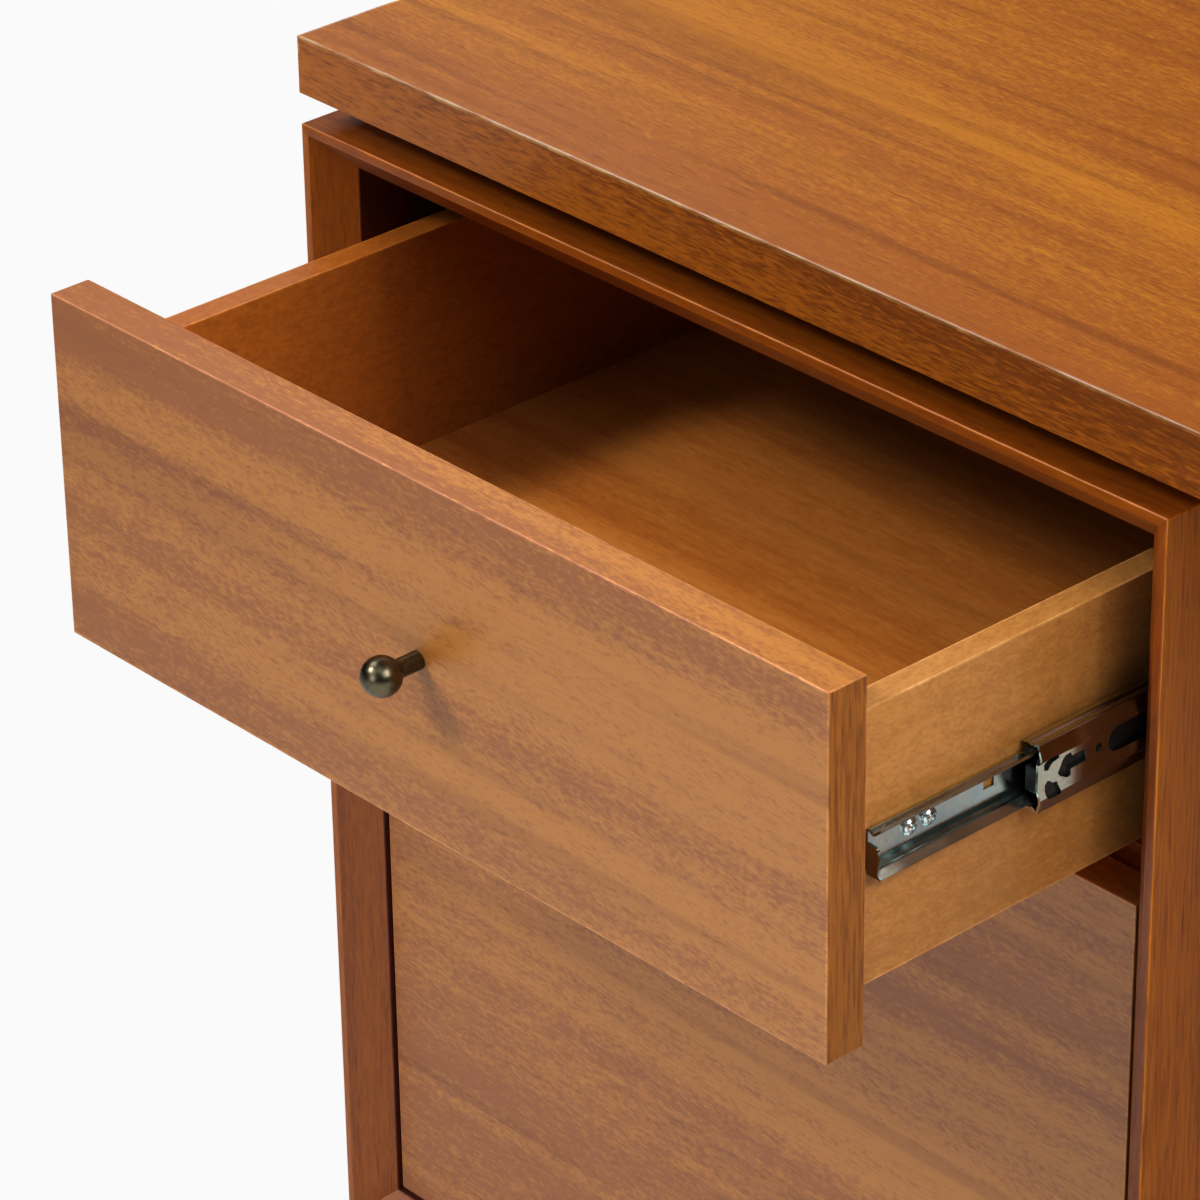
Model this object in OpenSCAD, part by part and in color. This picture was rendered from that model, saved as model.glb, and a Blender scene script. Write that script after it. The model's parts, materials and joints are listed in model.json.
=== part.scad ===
// Executive desk: a slab top floating on a shadow gap over two drawer
// pedestals, each with a box drawer above a file drawer. The left box drawer
// stands part open. Millimetres, +Z up, X along the front, -Y to the sitter.
// The origin lies on the floor, at the middle of the whole footprint.

/* [Desk] */
// Width of the slab top
desk_w = 1524; // [1400:2:1700]
// Depth of the slab top
desk_d = 711; // [700:1:760]
// Height of the working surface
desk_h = 762; // [740:1:790]
// Thickness of the slab top
slab_t = 24; // [20:1:30]
// Shadow gap between slab and pedestals
gap_h = 13; // [10:0.5:18]

/* [Pedestal] */
// Width of a pedestal case
case_w = 457; // [440:1:480]
// Depth of a pedestal case
case_d = 660; // [650:1:690]
// Thickness of the case boards
board_t = 18; // [18:0.5:20]
// Flat strip on the front edges of the case
edge_flat = 4; // [3:0.5:6]
// Gap between a drawer front and the case
reveal = 2; // [1.5:0.5:3]
// Gap between the two drawer fronts
front_gap = 3; // [2:0.5:4]

/* [Drawers] */
// Height of the box drawer's front
box_front_h = 146; // [140:1:152]
// Height of the file drawer's front
file_front_h = 334; // [320:1:340]
// Thickness of the drawer fronts
front_t = 18; // [16:0.5:19]
// Thickness of the drawer box boards
side_t = 11; // [10:0.5:12.5]
// Length of a drawer box
box_len = 560; // [556:1:570]
// How far the left box drawer stands out of the case front
open_out = 140; // [60:1:300]
// Room for a slide beside the drawer box
slide_room = 12.7; // [12.7:0.1:13.2]
// Length of a slide member
slide_len = 550; // [500:5:550]

/* [Knob] */
// Diameter of the ball
ball_d = 15.6; // [14:0.2:18]
// Height of the ball's centre above the drawer front
ball_out = 17.2; // [15:0.2:20]
// Diameter of the stem
stem_d = 7.4; // [6:0.2:9]

/* [Legs] */
// Diameter of a leg at the top
leg_top_d = 44; // [36:1:50]
// Diameter of a leg at the floor
leg_foot_d = 27; // [22:1:32]

/* [Hidden] */
$fn = 64;

// colours
c_wood = "peru"; c_side = "sienna"; c_box = "burlywood"; c_zinc = "silver"; c_dark = "dimgray"; c_bronze = "darkolivegreen";

// heights
ztop = desk_h - slab_t - gap_h;                 // top of the cases
case_h = 2*board_t + 2*reveal + box_front_h + front_gap + file_front_h;
leg_h = ztop - case_h;
// depth: the case front plane and where the origin sits
knob_out = ball_out + ball_d/2;
yF = -(desk_d - open_out - knob_out)/2;         // y of the case front plane
bev = board_t - edge_flat;                      // depth of the bevel
y_front = bev + 0.5;                            // closed drawer front, behind the case front
x0 = -desk_w/2;                                 // left face of the left case
// travel of a drawer
travel = slide_len;
opened = open_out + y_front;                    // how far the left box drawer is out
// drawer fronts
fx0 = board_t + reveal; fw = case_w - 2*fx0;
zb1 = ztop - board_t - reveal; zb0 = zb1 - box_front_h;
zf1 = zb0 - front_gap;         zf0 = zf1 - file_front_h;
// drawer boxes
bx0 = board_t + slide_room; bw = case_w - 2*bx0;
by0 = y_front + front_t;
box_drop = 22; box_rise = 15; file_drop = 30;
groove = 5; bot_t = 6; bot_up = 11; glue = 0.05;   // glue line at the box corners
// slides
y_cab = 36;  y_mid = 38.5;  y_mem = 43;
z_sl_box = (zb1 - box_drop + zb0 + box_rise)/2;
z_sl_file = zf0 + 175;
sl_t = 1.0;
screw_y = [73, 489];
mem_screw_y = [19.3, 28.5, 282, 506];
mem_screw_z = 1.9;
// rail between the drawers
rail_d = 60; rail_t = 14; rail_z = (zb0 + zf1)/2;

// a strip of sheet metal of thickness t along a path of points
function unit(v) = v/norm(v);
function nrm(a, b) = let(d = unit(b - a)) [-d[1], d[0]];
function side_pt(p, i, o) =
    i == 0 ? p[0] + o*nrm(p[0], p[1]) :
    i == len(p)-1 ? p[i] + o*nrm(p[i-1], p[i]) :
    let(a = nrm(p[i-1], p[i]), b = nrm(p[i], p[i+1]), m = unit(a + b)) p[i] + m*(o/(m*a));
function strip_pts(p, t) = concat([for (i = [0:len(p)-1]) side_pt(p, i, t/2)],
                                  [for (i = [len(p)-1:-1:0]) side_pt(p, i, -t/2)]);
module strip(p, t) polygon(strip_pts(p, t));
function flipz(p) = [for (i = [len(p)-1:-1:0]) [p[i][0], -p[i][1]]];

// rounds every bend of a path to radius r with n steps
function turn(v, f) = [v[0]*cos(f) - v[1]*sin(f), v[0]*sin(f) + v[1]*cos(f)];
function bend(a, b, c, r, n) =
    let(u1 = unit(b - a), u2 = unit(c - b), q = u1[0]*u2[1] - u1[1]*u2[0], f = acos(u1*u2),
        l = min(r*tan(f/2), 0.45*min(norm(b - a), norm(c - b))), rr = l/tan(f/2),
        w = (q > 0 ? 1 : -1)*[-u1[1], u1[0]], m = b - l*u1 + rr*w)
    [for (k = [0:n]) m + turn(-rr*w, (q > 0 ? 1 : -1)*f*k/n)];
function rounded(p, r, n = 3) = [for (i = [0:len(p)-1])
    if (i == 0 || i == len(p)-1) p[i] else each bend(p[i-1], p[i], p[i+1], r, n)];

// sheet sections, x away from the drawer box, z up
cab_top = [[3.2, 15.7], [4.3, 16.9], [12.1, 16.9]];
cab_path = rounded(concat(cab_top, flipz(cab_top)), 1.3);
mid_top = [[1.6, 12.5], [2.5, 13.4], [4.2, 13.4], [5.4, 12.4], [6.7, 12.4], [7.7, 13.4], [8.6, 13.4]];
mid_path = rounded(concat(mid_top, [[10.3, 7.4], [10.3, -7.4]], flipz(mid_top)), 0.9);
mem_top = [[7.1, 9.75], [4.4, 7.45], [3.4, 6.95], [1.9, 8.0], [0.6, 8.0]];
mem_path = rounded(concat(mem_top, flipz(mem_top)), 0.9);

// extrude a section along +Y from y = 0
module along_y(len) rotate([90, 0, 0]) translate([0, 0, -len]) linear_extrude(len) children();

module at_case() translate([x0, yF, 0]) children();
module right_hand() mirror([1, 0, 0]) children();

// ---- slab and battens
module slab_screw_xy() for (x = [80, case_w - 80]) for (y = [72, case_d - 72]) translate([x, y, 0]) children();
module desk_top() color(c_wood) difference() {
    translate([x0, yF, desk_h - slab_t]) cube([desk_w, desk_d, slab_t]);
    for (m = [0, 1]) mirror([m, 0, 0]) at_case() slab_screw_xy() translate([0, 0, desk_h - slab_t - 1]) cylinder(r = 2.1, h = 17);
}
module top_battens() color(c_side) for (m = [0, 1]) mirror([m, 0, 0]) at_case()
    for (y = [50, case_d - 94]) difference() {
        translate([40, y, ztop]) cube([case_w - 80, 44, gap_h]);
        for (x = [80, case_w - 80]) translate([x, y + 22, ztop - 1]) cylinder(r = 2.6, h = gap_h + 2);
    }

// ---- case boards, mitred at the corners and bevelled at the front
module bevel_prism(len) // section in (y, z): the outer face at z = 0, inner face at -board_t
    rotate([90, 0, 90]) linear_extrude(len) polygon([[0, 0], [0, -edge_flat], [bev, -board_t], [case_d, -board_t], [case_d, 0]]);
module mitre_prism(len)  // section in (x, z): outer width len, mitred ends
    rotate([90, 0, 0]) translate([0, 0, -case_d]) linear_extrude(case_d)
        polygon([[0, 0], [len, 0], [len - board_t, -board_t], [board_t, -board_t]]);
module case_plank(len) intersection() { bevel_prism(len); mitre_prism(len); }
module case_top_board() difference() {
    translate([0, 0, ztop]) case_plank(case_w);
    slab_screw_xy() translate([0, 0, ztop - board_t - 1]) cylinder(r = 2.6, h = board_t + 2);
}
module plate_xy() for (x = [48, case_w - 48]) for (y = [52, case_d - 52]) translate([x, y, 0]) children();
module case_bottom_board() difference() {
    translate([0, 0, leg_h]) mirror([0, 0, 1]) case_plank(case_w);
    plate_xy() for (a = [0:3]) rotate([0, 0, 45 + 90*a]) translate([plate_screw_r, 0, leg_h - 1]) cylinder(r = 1.8, h = 12);
}
// side board standing at x = 0, its outer face to -X
module case_side_board() translate([0, 0, leg_h]) rotate([0, -90, 0]) case_plank(case_h);
module slide_pilots(xin, dir) for (z = [z_sl_box, z_sl_file]) for (y = screw_y)
    translate([xin, yF + y_cab - 36 + y, z]) rotate([0, 90*dir, 0]) { translate([0, 0, -0.5]) cylinder(r = 1.6, h = 13.5); cylinder(r1 = 3.35, r2 = 1.6, h = 1.75); }
module outer_side() difference() {
    at_case() case_side_board();
    slide_pilots(x0 + board_t, -1);
}
module inner_side() difference() {
    translate([x0 + case_w, yF, 0]) mirror([1, 0, 0]) case_side_board();
    slide_pilots(x0 + case_w - board_t, 1);
    for (z = [cleat_z + 40, cleat_z + cleat_h - 40]) translate([x0 + case_w + 1, yF + modesty_y + modesty_t + 10, z]) rotate([0, -90, 0]) cylinder(r = 1.8, h = 13);
}
module case_back_board() at_case() translate([board_t, case_d - 12, leg_h + board_t]) cube([case_w - 2*board_t, 9, case_h - 2*board_t]);
module case_rail_board() at_case() translate([board_t, 36, rail_z - rail_t/2]) cube([case_w - 2*board_t, rail_d, rail_t]);

module left_case_top() color(c_wood) at_case() case_top_board();
module left_case_bottom() color(c_side) at_case() case_bottom_board();
module left_case_outer_side() color(c_side) outer_side();
module left_case_inner_side() color(c_side) inner_side();
module left_case_back() color(c_side) case_back_board();
module left_case_rail() color(c_side) case_rail_board();
module right_case_top() right_hand() left_case_top();
module right_case_bottom() right_hand() left_case_bottom();
module right_case_outer_side() right_hand() left_case_outer_side();
module right_case_inner_side() right_hand() left_case_inner_side();
module right_case_back() right_hand() left_case_back();
module right_case_rail() right_hand() left_case_rail();

// ---- legs
plate_t = 3; plate_r = 33; plate_screw_r = 27; glide_h = 4;
module leg() difference() {
    translate([0, 0, glide_h]) cylinder(r1 = leg_foot_d/2, r2 = leg_top_d/2, h = leg_h - plate_t - glide_h);
    translate([0, 0, leg_h - plate_t - 32]) cylinder(r = 4.1, h = 40);
    translate([0, 0, glide_h - 1]) cylinder(r = 1.6, h = 15);
}
module left_legs() color(c_side) at_case() plate_xy() leg();
module right_legs() right_hand() left_legs();
module leg_plate() translate([0, 0, leg_h - plate_t]) difference() {
    cylinder(r = plate_r, h = plate_t);
    translate([0, 0, -1]) cylinder(r = 4.1, h = plate_t + 2);
    for (a = [0:3]) rotate([0, 0, 45 + 90*a]) translate([plate_screw_r, 0, -1]) cylinder(r = 2.2, h = plate_t + 2);
}
module leg_plates() color(c_dark) for (m = [0, 1]) mirror([m, 0, 0]) at_case() plate_xy() leg_plate();
module leg_studs() color(c_zinc) for (m = [0, 1]) mirror([m, 0, 0]) at_case() plate_xy() {
    translate([0, 0, leg_h - plate_t - 30]) cylinder(r = 4, h = plate_t + 30);
    for (a = [0:3]) rotate([0, 0, 45 + 90*a]) translate([plate_screw_r, 0, 0]) {
        translate([0, 0, leg_h - plate_t]) cylinder(r = 1.7, h = 12.5);
        translate([0, 0, leg_h - plate_t - 2.2]) cylinder(r = 3.6, h = 2.2);
    }
}
module leg_glides() color(c_dark) for (m = [0, 1]) mirror([m, 0, 0]) at_case() plate_xy() {
    cylinder(r = leg_foot_d/2 - 2.5, h = glide_h);
    cylinder(r = 1.5, h = glide_h + 13);
}

// ---- panel across the back of the kneehole
modesty_t = 18; modesty_y = 560; cleat_z = 380; cleat_h = 320;
kx = case_w + x0;
module modesty_panel() color(c_wood) difference() {
    translate([kx, yF + modesty_y, 350]) cube([-2*kx, modesty_t, ztop - 350]);
    for (m = [0, 1]) mirror([m, 0, 0]) for (z = [cleat_z + 60, cleat_z + cleat_h - 60])
        translate([kx + 10, yF + modesty_y + modesty_t + 1, z]) rotate([90, 0, 0]) cylinder(r = 1.8, h = 13);
}
module modesty_cleats() color(c_side) for (m = [0, 1]) mirror([m, 0, 0]) difference() {
    translate([kx, yF + modesty_y + modesty_t, cleat_z]) cube([20, 20, cleat_h]);
    for (z = [cleat_z + 40, cleat_z + cleat_h - 40]) translate([kx - 1, yF + modesty_y + modesty_t + 10, z]) rotate([0, 90, 0]) cylinder(r = 2.2, h = 22);
    for (z = [cleat_z + 60, cleat_z + cleat_h - 60]) translate([kx + 10, yF + modesty_y + modesty_t + 21, z]) rotate([90, 0, 0]) cylinder(r = 2.2, h = 22);
}
module pan_screw(r, len, hr, hh) { // head on +Z, shank down to -len
    translate([0, 0, -len]) cylinder(r = r, h = len + 0.01);
    cylinder(r1 = hr, r2 = hr - 0.8, h = hh);
}
module assembly_screws() color(c_zinc) for (m = [0, 1]) mirror([m, 0, 0]) {
    at_case() slab_screw_xy() translate([0, 0, ztop - board_t]) mirror([0, 0, 1]) pan_screw(2, board_t + gap_h + 15, 4.2, 2.6);
    for (z = [cleat_z + 40, cleat_z + cleat_h - 40]) translate([kx + 20, yF + modesty_y + modesty_t + 10, z]) rotate([0, 90, 0]) pan_screw(1.7, 31, 3.8, 2.4);
    for (z = [cleat_z + 60, cleat_z + cleat_h - 60]) translate([kx + 10, yF + modesty_y + modesty_t + 20, z]) rotate([-90, 0, 0]) pan_screw(1.7, 31, 3.8, 2.4);
}

// ---- ball bearing slides; local x runs from the drawer box side to the case side
// put a slide piece made for the box's right-hand side on both sides
module both_sides() {
    translate([x0 + case_w - bx0, yF, 0]) children();
    translate([x0 + bx0, yF, 0]) mirror([1, 0, 0]) children();
}
module cab_member() difference() {
    translate([0, y_cab, 0]) along_y(slide_len) strip(cab_path, sl_t);
    for (y = screw_y) translate([slide_room - sl_t, y, 0]) rotate([0, 90, 0]) { translate([0, 0, -1]) cylinder(r = 1.9, h = 3); cylinder(r1 = 3.9, r2 = 3.0, h = sl_t); }
    for (y = [120, 330]) translate([slide_room - 3, y, -2.2]) cube([5, 12, 4.4]);
}
module cab_screw() translate([slide_room - sl_t, 0, 0]) rotate([0, 90, 0]) {
    cylinder(r1 = 3.7, r2 = 1.5, h = 2.75);
    translate([0, 0, 1]) cylinder(r = 1.5, h = 13);
}
// a cut-out of the web, its outline in (y, z)
module web_cut(pts) translate([8, 0, 0]) rotate([90, 0, 90]) linear_extrude(5) polygon(pts);
module mid_member() difference() {
    along_y(slide_len) strip(mid_path, sl_t);
    // the flanges end behind the tongue of the web
    translate([-1, -1, 7.2]) cube([14, 3.1, 10]);
    translate([-1, 0, 0]) rotate([90, 0, 90]) linear_extrude(14) polygon([[-1, -17], [2.1, -17], [2.1, -9.5], [0, -3], [-1, -3]]);
    // access cut-outs near the front end
    web_cut([[3.6, -1.9], [5.0, -0.6], [6.3, -1.4], [7.5, -2.4], [9.5, -2.6], [12.5, -8.7], [9.5, -9.2], [6.6, -8.9], [4.6, -7.0], [3.6, -4.6]]);
    web_cut([[10.0, 0.4], [11.0, -1.2], [12.5, -2.0], [14.6, -3.3], [16.5, -3.0], [16.5, -0.4], [24.0, -0.4], [24.0, 4.6], [17.0, 4.6], [16.3, 6.2], [13.6, 6.0], [12.2, 4.6], [11.2, 2.6]]);
    web_cut([[3.0, 4.2], [2.9, 6.4], [4.0, 7.4], [6.0, 7.8], [10.0, 7.8], [10.6, 6.4], [7.2, 5.8], [6.0, 4.8], [5.0, 3.4]]);
    translate([8, 30.5, 2.3]) rotate([0, 90, 0]) cylinder(r = 1.6, h = 5);
    // window over the release lever
    web_cut([for (a = [0:15:180]) [40.4 - 5.0*sin(a), 2.2 + 5.0*cos(a)], for (a = [180:15:360]) [66 - 5.0*sin(a), 2.2 + 5.0*cos(a)]]);
    for (y = [140, 300, 460]) translate([8, y, -3]) cube([5, 16, 6]);
    translate([8, slide_len - 20, 0]) rotate([0, 90, 0]) cylinder(r = 1.5, h = 5);
}
// the front end of the web is folded outwards into a stop
stop_pts = [[0.6, -9.6], [5.7, -9.6], [5.9, -9.4], [5.9, 1.0], [5.8, 1.7], [5.4, 2.2], [4.8, 2.4], [0.6, 2.8]];
module mem_member() difference() {
    union() {
        along_y(slide_len) strip(mem_path, sl_t);
        along_y(sl_t) polygon(stop_pts);
    }
    translate([-1, 55.8, 0.5]) cube([2.9, 5.2, 3.9]);
    for (y = [180, 400]) translate([-1, y, 0.5]) cube([2.9, 14, 3.9]);
    for (y = mem_screw_y) translate([-1, y, mem_screw_z]) rotate([0, 90, 0]) cylinder(r = 1.9, h = 4);
}
module mem_screw() translate([0, 0, mem_screw_z]) rotate([0, 90, 0]) difference() {
    union() {
        translate([0, 0, -8.6]) cylinder(r = 1.5, h = 9.9);
        translate([0, 0, sl_t + 0.1]) rotate_extrude($fn = 48) polygon([[0, 0], [3.5, 0], [3.5, 0.6], [3.1, 1.4], [2.3, 2.0], [1.2, 2.3], [0, 2.4]]);
    }
    for (a = [0, 90]) rotate([0, 0, a + 20]) translate([-1.9, -0.45, sl_t + 1.2]) cube([3.8, 0.9, 2]);
}
module cabinet_slides() color(c_zinc) for (z = [z_sl_box, z_sl_file]) both_sides() translate([0, 0, z]) cab_member();
module left_cabinet_slides() cabinet_slides();
module right_cabinet_slides() right_hand() cabinet_slides();
module cabinet_slide_screws() color(c_zinc) for (m = [0, 1]) mirror([m, 0, 0])
    for (z = [z_sl_box, z_sl_file]) both_sides() for (y = screw_y) translate([0, y, z]) cab_screw();
// o: how far the drawer stands open
module middle_slides(z, o) color(c_zinc) both_sides() translate([0, y_mid - o/2, z]) mid_member();
module member_slides(z, o) color(c_zinc) both_sides() translate([0, y_mem - o, z]) mem_member();
module member_screws(z, o) color(c_zinc) both_sides() for (y = mem_screw_y) translate([0, y_mem - o + y, z]) mem_screw();
module left_box_middle_slides() middle_slides(z_sl_box, opened);
module left_file_middle_slides() middle_slides(z_sl_file, 0);
module right_box_middle_slides() right_hand() middle_slides(z_sl_box, 0);
module right_file_middle_slides() right_hand() middle_slides(z_sl_file, 0);

// ---- drawers, drawn closed in the left case and then pulled out by o
module pulled(o) translate([x0, yF - o, 0]) children();
knob_bolt_r = 2; pad = 3;
module drawer_front(z0, h, kz, o) color(c_wood) pulled(o) difference() {
    translate([fx0, y_front, z0]) cube([fw, front_t, h]);
    translate([case_w/2, y_front - 1, kz]) rotate([-90, 0, 0]) cylinder(r = 2.3, h = front_t + 2);
}
// bz0, bz1: bottom and top of the box boards
module box_side(bz0, bz1, z, left) difference() {
    translate([left ? bx0 : bx0 + bw - side_t, by0, bz0]) cube([side_t, box_len, bz1 - bz0]);
    translate([left ? bx0 + side_t - groove : bx0 + bw - side_t - 1, by0 - 1, bz0 + bot_up]) cube([groove + 1, box_len + 2, bot_t]);
    for (y = mem_screw_y) translate([left ? bx0 - 1 : bx0 + bw + 1, y_mem + y, z + mem_screw_z]) rotate([0, left ? 90 : -90, 0]) cylinder(r = 1.6, h = 10);
}
module box_front_board(bz0, bz1, kz) difference() {
    translate([bx0 + side_t + glue, by0, bz0]) cube([bw - 2*side_t - 2*glue, side_t, bz1 - bz0]);
    translate([bx0 + side_t - 1, by0 + side_t - groove, bz0 + bot_up]) cube([bw, groove + 1, bot_t]);
    translate([case_w/2, by0 - 1, kz]) rotate([-90, 0, 0]) cylinder(r = 2.3, h = side_t + 2);
}
module box_back_board(bz0, bz1) translate([bx0 + side_t + glue, by0 + box_len - side_t, bz0 + bot_up + bot_t]) cube([bw - 2*side_t - 2*glue, side_t, bz1 - bz0 - bot_up - bot_t]);
module box_bottom_board(bz0) translate([bx0 + side_t - groove, by0 + side_t - groove, bz0 + bot_up]) cube([bw - 2*side_t + 2*groove, box_len - side_t + groove, bot_t]);
module knob(kz, o) color(c_bronze) pulled(o) translate([case_w/2, y_front, kz]) rotate([90, 0, 0]) difference() {
    union() {
        rotate_extrude($fn = 96) polygon([[0, 0], [stem_d/2, 0], [stem_d/2, ball_out - 8.6], [stem_d/2 + 0.15, ball_out - 7.6], [stem_d/2 + 0.55, ball_out - 6.8], [stem_d/2 + 1.1, ball_out - 6.2], [0, ball_out]]);
        translate([0, 0, ball_out]) sphere(r = ball_d/2, $fn = 96);
    }
    translate([0, 0, -1]) cylinder(r = knob_bolt_r + 0.05, h = 13);
}
module knob_bolt(kz, o) color(c_zinc) pulled(o) translate([case_w/2, by0 + side_t, kz]) rotate([-90, 0, 0]) difference() {
    pan_screw(knob_bolt_r, front_t + side_t + 10, 4, 2.6);
    for (a = [0, 90]) rotate([0, 0, a]) translate([-2.2, -0.5, 1.4]) cube([4.4, 1, 3]);
}
// box drawer and file drawer box heights
b_b0 = zb0 + box_rise; b_b1 = zb1 - box_drop; b_kz = zb0 + box_front_h/2;
f_b0 = zf0 + box_rise; f_b1 = zf1 - file_drop; f_kz = zf1 - box_front_h/2;
module box4(bz0, bz1, kz, z, o) color(c_box) pulled(o) { box_side(bz0, bz1, z, true); box_side(bz0, bz1, z, false); box_front_board(bz0, bz1, kz); box_back_board(bz0, bz1); }

module left_box_drawer_front() drawer_front(zb0, box_front_h, b_kz, opened);
module left_box_drawer_left_side() color(c_box) pulled(opened) box_side(b_b0, b_b1, z_sl_box, true);
module left_box_drawer_right_side() color(c_box) pulled(opened) box_side(b_b0, b_b1, z_sl_box, false);
module left_box_drawer_inner_front() color(c_box) pulled(opened) box_front_board(b_b0, b_b1, b_kz);
module left_box_drawer_back() color(c_box) pulled(opened) box_back_board(b_b0, b_b1);
module left_box_drawer_bottom() color(c_wood) pulled(opened) box_bottom_board(b_b0);
module left_box_drawer_knob() knob(b_kz, opened);
module left_box_drawer_knob_screw() knob_bolt(b_kz, opened);
module left_box_drawer_slides() member_slides(z_sl_box, opened);
module left_box_drawer_slide_screws() member_screws(z_sl_box, opened);

module left_file_drawer_front() drawer_front(zf0, file_front_h, f_kz, 0);
module left_file_drawer_box() box4(f_b0, f_b1, f_kz, z_sl_file, 0);
module left_file_drawer_bottom() color(c_wood) pulled(0) box_bottom_board(f_b0);
module left_file_drawer_knob() knob(f_kz, 0);
module left_file_drawer_slides() member_slides(z_sl_file, 0);
module left_file_drawer_screws() { knob_bolt(f_kz, 0); member_screws(z_sl_file, 0); }

module right_box_drawer_front() right_hand() drawer_front(zb0, box_front_h, b_kz, 0);
module right_box_drawer_box() right_hand() box4(b_b0, b_b1, b_kz, z_sl_box, 0);
module right_box_drawer_bottom() right_hand() color(c_wood) pulled(0) box_bottom_board(b_b0);
module right_box_drawer_knob() right_hand() knob(b_kz, 0);
module right_box_drawer_slides() right_hand() member_slides(z_sl_box, 0);
module right_box_drawer_screws() right_hand() { knob_bolt(b_kz, 0); member_screws(z_sl_box, 0); }

module right_file_drawer_front() right_hand() drawer_front(zf0, file_front_h, f_kz, 0);
module right_file_drawer_box() right_hand() box4(f_b0, f_b1, f_kz, z_sl_file, 0);
module right_file_drawer_bottom() right_hand() color(c_wood) pulled(0) box_bottom_board(f_b0);
module right_file_drawer_knob() right_hand() knob(f_kz, 0);
module right_file_drawer_slides() right_hand() member_slides(z_sl_file, 0);
module right_file_drawer_screws() right_hand() { knob_bolt(f_kz, 0); member_screws(z_sl_file, 0); }

desk_top();
top_battens();
left_case_top();
left_case_bottom();
left_case_outer_side();
left_case_inner_side();
left_case_back();
left_case_rail();
right_case_top();
right_case_bottom();
right_case_outer_side();
right_case_inner_side();
right_case_back();
right_case_rail();
left_legs();
right_legs();
leg_plates();
leg_studs();
leg_glides();
modesty_panel();
modesty_cleats();
assembly_screws();
left_cabinet_slides();
right_cabinet_slides();
cabinet_slide_screws();
left_box_middle_slides();
left_file_middle_slides();
right_box_middle_slides();
right_file_middle_slides();
left_box_drawer_front();
left_box_drawer_left_side();
left_box_drawer_right_side();
left_box_drawer_inner_front();
left_box_drawer_back();
left_box_drawer_bottom();
left_box_drawer_knob();
left_box_drawer_knob_screw();
left_box_drawer_slides();
left_box_drawer_slide_screws();
left_file_drawer_front();
left_file_drawer_box();
left_file_drawer_bottom();
left_file_drawer_knob();
left_file_drawer_slides();
left_file_drawer_screws();
right_box_drawer_front();
right_box_drawer_box();
right_box_drawer_bottom();
right_box_drawer_knob();
right_box_drawer_slides();
right_box_drawer_screws();
right_file_drawer_front();
right_file_drawer_box();
right_file_drawer_bottom();
right_file_drawer_knob();
right_file_drawer_slides();
right_file_drawer_screws();
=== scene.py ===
import json
import math

import bmesh
import bpy
from mathutils import Matrix, Vector

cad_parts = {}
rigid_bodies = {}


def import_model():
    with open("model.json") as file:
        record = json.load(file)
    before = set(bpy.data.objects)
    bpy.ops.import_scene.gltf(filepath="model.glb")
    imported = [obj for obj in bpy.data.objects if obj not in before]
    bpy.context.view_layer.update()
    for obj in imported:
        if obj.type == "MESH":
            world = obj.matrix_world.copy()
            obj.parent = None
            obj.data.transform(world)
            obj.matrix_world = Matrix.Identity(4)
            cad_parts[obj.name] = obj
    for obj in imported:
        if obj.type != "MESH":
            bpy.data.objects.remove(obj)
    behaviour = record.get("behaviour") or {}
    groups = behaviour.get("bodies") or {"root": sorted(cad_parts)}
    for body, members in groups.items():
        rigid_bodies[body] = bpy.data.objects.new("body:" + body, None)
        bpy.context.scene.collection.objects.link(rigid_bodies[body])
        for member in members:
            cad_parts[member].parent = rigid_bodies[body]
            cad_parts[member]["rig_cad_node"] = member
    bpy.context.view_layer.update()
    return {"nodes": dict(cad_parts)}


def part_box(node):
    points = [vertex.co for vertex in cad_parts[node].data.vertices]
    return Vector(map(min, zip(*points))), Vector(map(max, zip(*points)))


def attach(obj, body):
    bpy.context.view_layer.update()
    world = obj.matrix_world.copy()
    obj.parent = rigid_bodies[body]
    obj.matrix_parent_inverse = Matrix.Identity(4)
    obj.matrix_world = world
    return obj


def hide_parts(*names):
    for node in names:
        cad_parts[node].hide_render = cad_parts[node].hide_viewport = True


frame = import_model()
NODES = frame["nodes"]
MM = 0.001

# ------------------------------------------------------------------ camera
AZ, EL, ROLL = math.radians(48.02), math.radians(28.96), math.radians(-0.91)
d = Vector((-math.sin(AZ) * math.cos(EL), math.cos(AZ) * math.cos(EL), -math.sin(EL)))
r = d.cross(Vector((0, 0, 1))).normalized()
u = r.cross(d)
r2 = math.cos(ROLL) * r + math.sin(ROLL) * u
u2 = -math.sin(ROLL) * r + math.cos(ROLL) * u
cam_data = bpy.data.cameras.new("camera")
cam = bpy.data.objects.new("camera", cam_data)
bpy.context.scene.collection.objects.link(cam)
cam.matrix_world = Matrix((
    (r2.x, u2.x, -d.x, 0.76893),
    (r2.y, u2.y, -d.y, -1.49697),
    (r2.z, u2.z, -d.z, 1.59232),
    (0, 0, 0, 1)))
cam_data.sensor_fit = "HORIZONTAL"
cam_data.sensor_width = 36
cam_data.lens = 163.395
cam_data.clip_start = 0.05
cam_data.clip_end = 200
bpy.context.scene.camera = cam


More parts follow.
